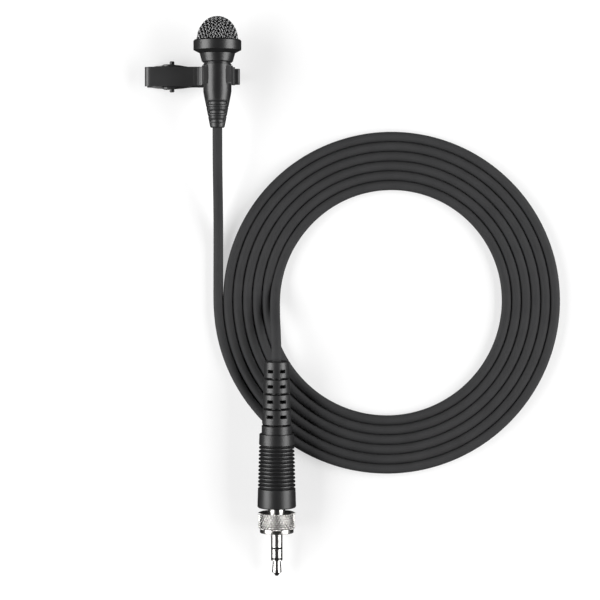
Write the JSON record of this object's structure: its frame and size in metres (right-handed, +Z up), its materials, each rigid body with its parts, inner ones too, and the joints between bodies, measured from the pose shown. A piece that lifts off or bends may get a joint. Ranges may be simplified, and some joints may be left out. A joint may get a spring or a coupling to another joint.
{
  "type": "lavalier microphone",
  "caption": "Clip-on microphone with a domed wire windscreen, sprung tie clip, slotted strain reliefs, coiled cord and a locking jack plug.",
  "frame": {"origin": "below the middle of the microphone and its clip, on the surface that the part lies on", "axes": "+Y along the microphone's axis towards its windscreen, +X towards the clip's jaw mouth, +Z up; the clip is under the microphone"},
  "size_m": [0.1263, 0.1696, 0.0178],
  "materials": {
    "housing_black": "satin black, fine grain",
    "rubber_black": "moulded satin rubber",
    "mesh_black": "black coated woven wire",
    "foam_black": "open-cell foam",
    "clip_black": "black finish spring steel",
    "spring_steel": "drawn spring wire",
    "cord_black": "satin cable jacket",
    "plug_black": "satin black",
    "nickel": "bright nickel",
    "insulator_black": "moulded insulator",
    "capsule_aluminium": "deep drawn",
    "contact_brass": "plain brass",
    "board_green": "solder mask",
    "screen_steel": "fine woven screen",
    "wire_red": "insulated strands"
  },
  "bodies": {
    "mic": {"mic_housing": "housing_black", "neck_ring": "housing_black", "capsule_sleeve": "rubber_black", "capsule_can": "capsule_aluminium", "capsule_diaphragm": "capsule_aluminium", "capsule_backplate": "contact_brass", "capsule_spacer": "insulator_black", "capsule_board": "board_green", "inlet_screen": "screen_steel", "amplifier_board": "board_green", "mic_strain_relief": "rubber_black", "mic_crimp": "contact_brass", "mic_core_wires": "wire_red", "cord_lead": "cord_black", "cord_coil": "cord_black", "cord_tail": "cord_black", "jack_sleeve": "nickel", "jack_sleeve_insulator": "insulator_black", "jack_ring": "nickel", "jack_ring_insulator": "insulator_black", "jack_tip": "nickel", "plug_neck": "nickel", "nut_stop_ring": "nickel", "plug_barrel": "plug_black", "plug_terminal_block": "insulator_black", "plug_end_cap": "plug_black", "plug_strain_relief": "rubber_black", "plug_crimp": "contact_brass", "plug_core_wires": "wire_red"},
    "windscreen": {"grille_ring": "housing_black", "grille_mesh": "mesh_black", "windscreen_foam": "foam_black"},
    "clip": {"clip_upper_lever": "clip_black", "mic_clasp": "clip_black", "clasp_rivet": "clip_black", "pivot_pin": "clip_black", "torsion_spring": "spring_steel"},
    "jaw": {"clip_lower_lever": "clip_black"},
    "nut_float": {"nut_washer": "insulator_black"},
    "nut": {"coupling_nut": "nickel"}
  },
  "joints": [
    {"name": "windscreen_pull", "type": "slide", "parent": "mic", "child": "windscreen", "axis": [0, 1, 0], "range_m": [0, 0.018]},
    {"name": "clip_turn", "type": "hinge", "parent": "mic", "child": "clip", "pos_m": [0.00751, -0.0011, 0.0106], "axis": [0, 1, 0], "continuous": true},
    {"name": "jaw_open", "type": "hinge", "parent": "clip", "child": "jaw", "pos_m": [-0.00649, -0.0011, 0.00315], "axis": [0, 1, 0], "range_deg": [0, 16], "stiffness_Nm_per_rad": 0.12, "springref_deg": -34.38},
    {"name": "nut_slide", "type": "slide", "parent": "mic", "child": "nut_float", "axis": [0, 0.9962, 0.0872], "range_m": [0, 0.0013]},
    {"name": "nut_spin", "type": "hinge", "parent": "nut_float", "child": "nut", "pos_m": [0.02536, -0.13636, 0.00573], "axis": [0, 0.9962, 0.0872], "continuous": true}
  ]
}
